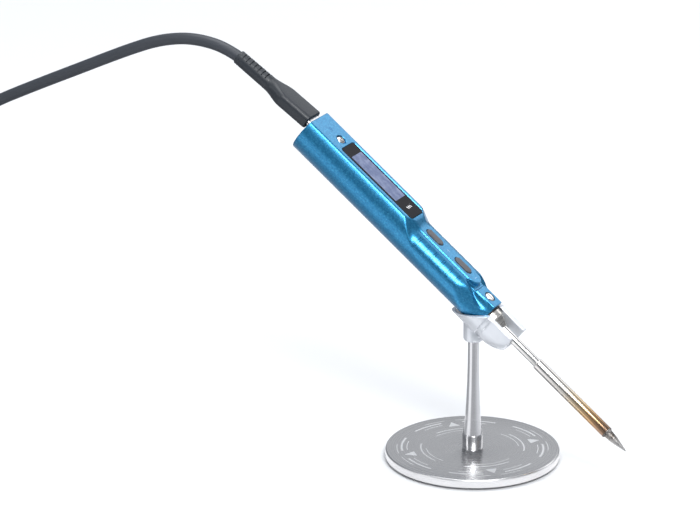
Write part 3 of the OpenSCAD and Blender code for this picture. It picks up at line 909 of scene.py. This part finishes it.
def square_bar(x0, x1, y0, y1, z0, z1, place):
    return layered([([(x0, y0), (x1, y0), (x1, y1), (x0, y1)], z) for z in (z0, z1)], place)


clamp_place = IRON @ Matrix.Translation((CLAMP_X*MM, 0, 0)) @ UPRIGHT
slot = square_bar(
    CLAMP_X - 3, CLAMP_X + 3, -SLOT_HALF, SLOT_HALF, BLOCK_UP - SLOT_DEEP, BLOCK_UP + 2, IRON,
)
turned("clamp_screw", [
    (2.03, 0), (2.03, 1.3), (4.5, 1.3), (4.5, 1.8), (5.95, 1.8), (6.13, 1.6), (6.2, 1.1), (6.22, 0),
], clamp_place, [slot])
turned("clamp_nut", [(4.4, 1.85), (5.9, 1.85), (5.9, 2.19), (4.4, 2.19)], clamp_place, closed=True, cut=0.08)

earth_place = IRON @ Matrix.Translation((EARTH_X*MM, 0, 0)) @ UPRIGHT
dome = [
    (DOME_CENTRE + math.sqrt(DOME_R**2 - r*r), r)
    for r in (EARTH_HEAD_R, 1.5, 1.25, 0.95, 0.65, 0.3, 0.001)
]
hexagon = layered([(ring_outline(EARTH_X, HEX_R, 6), FLAT_UP + z) for z in (-0.5, 3)], IRON)
turned("earth_screw", [
    (-1, 0), (-1, EARTH_SHANK_R), (EARTH_HEAD_UP, EARTH_SHANK_R), (EARTH_HEAD_UP, EARTH_HEAD_R),
] + dome, earth_place, [hexagon], cut=0.06)

turned("nose_gasket", [(0, 2.38), (0.45, 2.38), (0.45, 5.15), (0, 5.15)], IRON, closed=True, cut=0.08)
turned("nose_collar", [
    (-14, BORE_R), (-14, 4.1), (0, 4.1), (0, 2.33), (0.45, 2.33), (0.45, 4.1), (0.6, 4.25), (2.9, 4.25),
    (3.15, 4), (3.15, 3.8), (7, 2.2), (7.2, 2), (7.2, BORE_R),
], IRON, closed=True, cut=0.1)
turned("cartridge_tube", [
    (-14, TUBE_R - 0.35), (-14, TUBE_R), (SLEEVE_X[0], TUBE_R), (SLEEVE_X[0], TUBE_R - 0.35),
], IRON, closed=True, cut=0.03)
turned("heater_sleeve", [
    (SLEEVE_X[0], 0), (SLEEVE_X[0], SLEEVE_R - 0.2), (SLEEVE_X[0] + 0.2, SLEEVE_R), (SLEEVE_X[1], SLEEVE_R),
    (SLEEVE_X[1], SLEEVE_R - 0.35), (SLEEVE_X[0] + 0.5, SLEEVE_R - 0.35), (SLEEVE_X[0] + 0.5, 0),
], IRON, cut=0.15)


def tip():
    """The tapered point, less the facet that is ground on its upper side."""
    x = SLEEVE_X[1]
    profile = [
        (x - 2, 0), (x - 2, 1.85), (x, 1.85), (x, 2.3), (x + 0.35, 2.3), (x + 0.6, 2.2),
        (x + 1, 1.78), (x + 2, 1.66), (x + 4, 1.5), (x + 7, 0.9),
        (POINT_X - 0.3, 0.25), (POINT_X - 0.05, 0.1), (POINT_X, 0),
    ]
    bm = turned_bm(rounded_profile(profile, 0.15, False), IRON)
    normal = (IRON.to_3x3() @ Vector(FACET_NORMAL)).normalized()
    cut_flat(bm, on_iron(POINT_X - 0.1, 0, 0.12), normal, keep_above=False)
    return formed("tip_bit", bm, angle=25)


tip()

# ---- plugs -----------------------------------------------------

MOULDING_W = 10.2
MOULDING_H = 5.5
MOULDING_L = 15.4
MOULDING_CORNER = 1.9
MOULDING_ROUND = 0.6
SWEEP_START = -MOULDING_L + 2.4
SWEEP_L = 8.6
SWEEP_STEPS = 24
RELIEF_START = -MOULDING_L - 6
RELIEF_END = 37.2
RELIEF_R = 2.95
SLIT_PITCH = 1.9
SLIT_W = 0.5
SLIT_FLOOR = 1.75
SLITS = [-RELIEF_END + SLIT_PITCH*(i + 1) + 0.15 for i in range(7)]
# the front of each plug's soft grip
PLUG_AT = (-98.3, 0, 5.9)
PLUG_SAG = math.radians(-4.5)
FAR_PLUG_AT = (-314.2, -30.5, RELIEF_R)


def loft(sections, place):
    """A solid through rounded rectangles (x, width, height, corner) across the x axis, in millimetres."""
    bm, rings = bmesh.new(), []
    for x, w, h, corner in sections:
        outline = round_outline(-w/2, w/2, h/2, min(corner, h/2 - 0.01, w/2 - 0.01))
        rings.append([bm.verts.new(place @ (Vector((x, y, z))*MM)) for y, z in outline])
    return skin(bm, rings)


def moulded_plug(moulding, relief, place):
    """The soft grip of a plug, whose end sweeps in to the slit strain relief."""
    sections = [
        (-drop, MOULDING_W - 2*inset, MOULDING_H - 2*inset, MOULDING_CORNER - inset)
        for inset, drop in reversed(quarter_round(MOULDING_ROUND))
    ]
    for k in range(SWEEP_STEPS + 1):
        t = k/SWEEP_STEPS
        sides = [
            size + (end - size)*ease(t)
            for size, end in ((MOULDING_W, 2*RELIEF_R), (MOULDING_H, 2*RELIEF_R), (MOULDING_CORNER, RELIEF_R))
        ]
        sections.append((SWEEP_START - SWEEP_L*t, *sides))
    formed(moulding, loft(sections, place), angle=50)
    slits = [square_bar(x, x + SLIT_W, -4, 4, SLIT_FLOOR, 5, place) for x in SLITS]
    turned(relief, [
        (-RELIEF_END, 0), (-RELIEF_END, RELIEF_R - 0.15), (RELIEF_START, RELIEF_R), (RELIEF_START, 0),
    ], place, slits, cut=0.35)


moulded_plug(
    "plug_moulding", "strain_relief",
    IRON @ Matrix.Translation(Vector(PLUG_AT)*MM) @ Matrix.Rotation(PLUG_SAG, 4, "Y"),
)
moulded_plug(
    "far_moulding", "far_relief",
    Matrix.Translation(Vector(FAR_PLUG_AT)*MM) @ Matrix.Rotation(math.pi, 4, "Z"),
)

# ---- stand -----------------------------------------------------

PAD_UP = 1
PAD_R = 31.5
PAD_HOLE_R = 4.5
DISC_UP = 4.2
DISC_R = 32.75
HOLE_R = 2.05
SINK_R = 4.1
FOOT_R = 3.85
POST_R = 2.15
POST_UP = 51

softened("holder", voxel=0.22, rounds=4)
turned("base_disc", [
    (DISC_UP, HOLE_R), (DISC_UP, DISC_R - 0.4), (DISC_UP - 0.4, DISC_R), (PAD_UP + 0.25, DISC_R),
    (PAD_UP, DISC_R - 0.25), (PAD_UP, SINK_R), (PAD_UP + 0.2, SINK_R), (3.2, HOLE_R),
], UPRIGHT, closed=True, cut=0.12)
turned("base_pad", [
    (0, PAD_HOLE_R), (0, PAD_R - 0.2), (0.2, PAD_R), (PAD_UP, PAD_R), (PAD_UP, PAD_HOLE_R),
], UPRIGHT, closed=True, cut=0.12)
turned("post", [
    (DISC_UP, 0), (DISC_UP, FOOT_R), (9.85, FOOT_R), (10.05, FOOT_R - 0.2), (16, 3), (22, 2.6),
    (30, 2.3), (38, POST_R), (POST_UP, POST_R), (POST_UP, 0),
], UPRIGHT, cut=0.1)

for node, obj in frame["nodes"].items():
    if not obj.hide_render:
        smooth(obj)
        obj.data.materials.clear()
        obj.data.materials.append(finish_of(node))

# ---- display ---------------------------------------------------

WINDOW_TOP = 8.9
ACTIVE_X = (-77.1, -53.8)
ACTIVE_W = 7.7
MARK_X = (-49.85, -48.55)
MARK_SLANT = math.radians(28)
PLUS_X = -27.4
MINUS_X = -13.0
SIGN_HALF = 0.75


def plate(bm, x0, x1, half_w, z0, z1, corner, y=0.0, turn=0.0):
    """Adds a flat plate with rounded corners, given in the iron frame's millimetres."""
    mid = (x0 + x1)/2
    c, s = math.cos(turn), math.sin(turn)
    placed = [
        (mid + (px - mid)*c - py*s, y + (px - mid)*s + py*c)
        for px, py in round_outline(x0, x1, half_w, corner, steps=6)
    ]
    skin(bm, [[bm.verts.new(on_iron(px, py, z)) for px, py in placed] for z in (z0, z1)])


def display_glass():
    """The window, whose edges are polished round."""
    bm = bmesh.new()
    plate(bm, *WINDOW_X, WINDOW_W/2, WINDOW_TOP - 1, WINDOW_TOP, WINDOW_CORNER)
    glass = LOOKS["window_glass"].material
    window = piece("display_glass", bm, glass, "iron", ["display_window"])
    bevel = window.modifiers.new("edges", "BEVEL")
    bevel.width = 0.12*MM
    bevel.segments = 2
    bevel.limit_method = "ANGLE"
    bevel.angle_limit = math.radians(40)
    bevel.harden_normals = True


display_glass()

bm = bmesh.new()
plate(bm, *ACTIVE_X, ACTIVE_W/2, WINDOW_TOP - 0.1, WINDOW_TOP + 0.012, 0.15)
piece("display_active_area", bm, LOOKS["oled"].material, "iron")

# a generic mark of three slanted bars, and the signs of the two keys
print_look = plastic("print_white", (0.75, 0.76, 0.78), 0.5)
bm = bmesh.new()
for y in (-1.15, 0, 1.15):
    plate(bm, *MARK_X, 0.2, WINDOW_TOP - 0.05, WINDOW_TOP + 0.015, 0.1, y, MARK_SLANT)
piece("window_mark", bm, print_look.material, "iron")

etch_look = steel("etched_mark", (0.3, 0.5, 0.7), 0.5)
dark_etch_look = steel("dark_etched_mark", (0.02, 0.12, 0.3), 0.5)
bm = bmesh.new()
for x, turn in ((PLUS_X, 0), (PLUS_X, math.pi/2), (MINUS_X, math.pi/2)):
    plate(bm, x - SIGN_HALF, x + SIGN_HALF, 0.14, ISLAND_UP - 0.05, ISLAND_UP + 0.01, 0.1, 0, turn)
piece("key_signs", bm, etch_look.material, "iron")

# an engraved earth sign behind its screw: three bars, each shorter, under a stem
bm = bmesh.new()
for x, half in ((-91.6, 0.25), (-91.1, 0.55), (-90.6, 0.85)):
    plate(bm, x - 0.09, x + 0.09, half, FLAT_UP - 0.05, FLAT_UP + 0.012, 0.06)
plate(bm, -90.55, -89.6, 0.09, FLAT_UP - 0.05, FLAT_UP + 0.012, 0.06)
piece("earth_sign", bm, dark_etch_look.material, "iron")

# ---- base pattern ----------------------------------------------

BASE_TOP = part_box("base_disc")[1].z
MARK_HIGH = 0.00002
FIRST_MARK = 43


def arc_band(bm, radius, width, start, end):
    """A thin raised arc on the base, its angles in degrees."""
    count = max(3, round(abs(end - start)/3))
    inner, outer = radius - width/2, radius + width/2
    low, high = BASE_TOP - MARK_HIGH, BASE_TOP + MARK_HIGH
    skin(bm, [
        [
            bm.verts.new((r*math.cos(a), r*math.sin(a), z))
            for r, z in ((inner, low), (outer, low), (outer, high), (inner, high))
        ]
        for a in (math.radians(start + (end - start)*k/count) for k in range(count + 1))
    ])


def triangle(bm, radius, angle, size):
    """A small raised triangle at a radius and an angle, which points outwards."""
    centre = Vector((radius*math.cos(angle), radius*math.sin(angle), BASE_TOP))
    corners = [
        centre + Vector((size*math.cos(angle + t), size*math.sin(angle + t), 0))
        for t in (0, math.radians(125), math.radians(-125))
    ]
    skin(bm, [[bm.verts.new(c + Vector((0, 0, z))) for c in corners] for z in (-MARK_HIGH, MARK_HIGH)])


mark_look = Look("base_mark", (0.74, 0.75, 0.76), 0.42, 0.85)
mark_look.grained(5000, 0.000006, 0.08, 0.42)
bm = bmesh.new()
for k in range(4):
    middle = FIRST_MARK + 90*k
    triangle(bm, 23.9*MM, math.radians(middle), 2.7*MM)
    for side in (-1, 1):
        arc_band(bm, 26.6*MM, 0.75*MM, middle + side*9, middle + side*37)
        arc_band(bm, 24.6*MM, 0.35*MM, middle + side*10, middle + side*30)
        arc_band(bm, 28.4*MM, 0.3*MM, middle + side*4, middle + side*22)
    arc_band(bm, 19.4*MM, 0.5*MM, middle - 27, middle + 27)
    arc_band(bm, 17.4*MM, 0.3*MM, middle - 12, middle + 34)
piece("base_marks", bm, mark_look.material, "stand")

# ---- strap of the coil -----------------------------------------

STRAP_GAP = 0.00005


def turn_place(turned):
    """Where a turn crosses the strap: its distance from the coil's axis, and its height."""
    nearest = coil_points()[round(turned*POINTS_PER_TURN)] - COIL_CENTRE
    return nearest.x, nearest.z


def rounding(centre, first, last, rho, steps=7):
    """Points on an arc, its angles in degrees."""
    return [
        Vector((centre[0] + rho*math.cos(a), centre[1] + rho*math.sin(a)))
        for a in (math.radians(first + (last - first)*k/steps) for k in range(steps + 1))
    ]


def strap():
    """A band of hook-and-loop tape around the turns, whose end lies over its start."""
    top_in, low_in, low_out, top_out = (turn_place(t) for t in (2.5, 3.5, 5.5, 0.5))
    rho = LEAD_D/2 + STRAP_GAP + TIE_THICK/2
    over = rho + TIE_THICK + STRAP_GAP
    line = (
        rounding(top_in, 90, 194, rho) + rounding(low_in, 194, 270, rho) + rounding(low_out, 270, 374, rho)
        + rounding(top_out, 14, 90, rho + 0.3*TIE_THICK) + rounding(top_in, 90, 194, over)
        + rounding(low_in, 196, 214, over, 2)
    )
    bm, rings = bmesh.new(), []
    half = Vector((TIE_THICK/2, TIE_W/2))
    for i, p in enumerate(line):
        ahead = line[min(i + 1, len(line) - 1)] - line[max(i - 1, 0)]
        out = Vector((ahead.y, -ahead.x)).normalized()
        rings.append([
            bm.verts.new(COIL_CENTRE + Vector((p.x + u*half.x*out.x, v*half.y, p.y + u*half.x*out.y)))
            for u, v in ((-1, -1), (-1, 0), (-1, 1), (0, 1.02), (1, 1), (1, 0), (1, -1), (0, -1.02))
        ])
    skin(bm, rings)
    return piece("coil_strap", bm, finish_of("cable_tie"), "stand", ["cable_tie"], 50)


strap()

# ---- lead ------------------------------------------------------

RING_STEP = 0.0016
LEAD_SIDES = 20


def lead(name, route, **facts):
    """One stretch of the lead, as a tube along its route."""
    line = curve_through(route, RING_STEP)
    obj = piece(name, sweep(line, LEAD_D/2, LEAD_SIDES), finish_of("cable_lead"), None)
    return obj


near_lead = lead(
    "lead_near", near_route, exit=in_metres([(-98.5, 0, 143.8)])[0], far_end="object", lay="loose",
    with_pieces=["plug_shell", "plug_moulding_body", "strain_relief_body"],
)
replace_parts(near_lead, "cable_lead")
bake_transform(near_lead)

down_lead = lead(
    "lead_down", down_route, exit=down_route[0], far_end="plug", lay="coiled",
    with_pieces=["far_relief_body", "far_moulding_body", "far_shell", "coil_strap"],
)
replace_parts(down_lead, "cable_coil", "cable_tail")
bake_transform(down_lead)

# ---- floor and light -------------------------------------------

FLOOR_HALF = 12
floor_look = Look("floor", (0.64, 0.65, 0.662), 0.85)
floor_look.set(Specular_IOR_Level=0.2)
bm = bmesh.new()
bmesh.ops.create_grid(bm, x_segments=2, y_segments=2, size=FLOOR_HALF)
floor_mesh = bpy.data.meshes.new("floor")
bm.to_mesh(floor_mesh)
bm.free()
floor_mesh.materials.append(floor_look.material)
floor = bpy.data.objects.new("floor", floor_mesh)
bpy.context.scene.collection.objects.link(floor)


def softbox(name, place, aim, size, power):
    """A rectangular light of the given power in watts."""
    light = bpy.data.lights.new(name, "AREA")
    light.shape = "RECTANGLE"
    light.size, light.size_y = size
    light.energy = power
    obj = bpy.data.objects.new(name, light)
    obj.location = place
    obj.rotation_euler = (Vector(aim) - Vector(place)).to_track_quat("-Z", "Y").to_euler()
    bpy.context.scene.collection.objects.link(obj)


softbox("top", (-0.35, 0.5, 2.1), (-0.1, 0.1, 0), (1.6, 1.2), 32)
softbox("shoulder", (0.66, -0.83, 1.2), (-0.02, 0, 0.08), (0.62, 0.62), 24)
softbox("back", (0.38, 1.5, 0.95), (-0.02, 0, 0.08), (1.3, 0.75), 5)
softbox("side", (-1.0, -1.2, 0.9), (0, 0, 0.05), (0.4, 0.7), 4)
softbox("low", (-0.8, 1.5, 0.62), (0, 0, 0), (1.4, 0.5), 0.6)

CARD_R = 0.7
CARD_Z = 0.0004
STRIPE_FROM = math.atan2(-0.88, -0.47)


def floor_card():
    """A grey card with a white stripe that only reflections see: it draws the stripes on the metal."""
    look = Look("floor_card", (0.3, 0.3, 0.31), 0.9)
    x, y, _ = look.xyz(look.place)
    around = look.math("ARCTAN2", y, x)
    wrapped = look.math("WRAP", around, STRIPE_FROM + math.pi, STRIPE_FROM - math.pi)
    off = look.math("ABSOLUTE", look.math("SUBTRACT", wrapped, STRIPE_FROM))
    stripe = look.between(off, math.radians(12), math.radians(34), 1.0, 0.0)
    away = look.between(off, math.radians(70), math.radians(150))
    radius = look.math("SQRT", look.math("ADD", look.math("MULTIPLY", x, x), look.math("MULTIPLY", y, y)))
    close = look.between(radius, 0.045, 0.06, 1.0, 0.0)
    base = look.blend(away, (0.3, 0.305, 0.315), (0.6, 0.61, 0.63))
    white = look.math("MAXIMUM", stripe, close)
    look.set(Base_Color=look.blend(white, base, (0.85, 0.85, 0.86)))
    bm = bmesh.new()
    bmesh.ops.create_circle(bm, cap_ends=True, segments=64, radius=CARD_R)
    mesh = bpy.data.meshes.new("floor_card")
    bm.to_mesh(mesh)
    bm.free()
    mesh.materials.append(look.material)
    obj = bpy.data.objects.new("floor_card", mesh)
    obj.location.z = CARD_Z
    bpy.context.scene.collection.objects.link(obj)
    for ray in ("camera", "diffuse", "shadow", "transmission", "volume_scatter"):
        setattr(obj, "visible_" + ray, False)


floor_card()


def studio_world():
    """A pale surround, darker towards the horizon."""
    world = bpy.data.worlds.new("studio")
    world.use_nodes = True
    sky = world.node_tree
    background = sky.nodes["Background"]
    height = sky.nodes.new("ShaderNodeSeparateXYZ")
    sky.links.new(sky.nodes.new("ShaderNodeTexCoord").outputs["Generated"], height.inputs[0])
    shade = sky.nodes.new("ShaderNodeValToRGB")
    stops = ((0.05, (0.32, 0.34, 0.38, 1)), (0.8, (0.9, 0.93, 1, 1)))
    for element, (at, color) in zip(shade.color_ramp.elements, stops):
        element.position = at
        element.color = color
    sky.links.new(height.outputs[2], shade.inputs[0])
    sky.links.new(shade.outputs[0], background.inputs[0])
    background.inputs[1].default_value = 0.6
    bpy.context.scene.world = world


studio_world()
bpy.context.scene.view_settings.view_transform = "Standard"
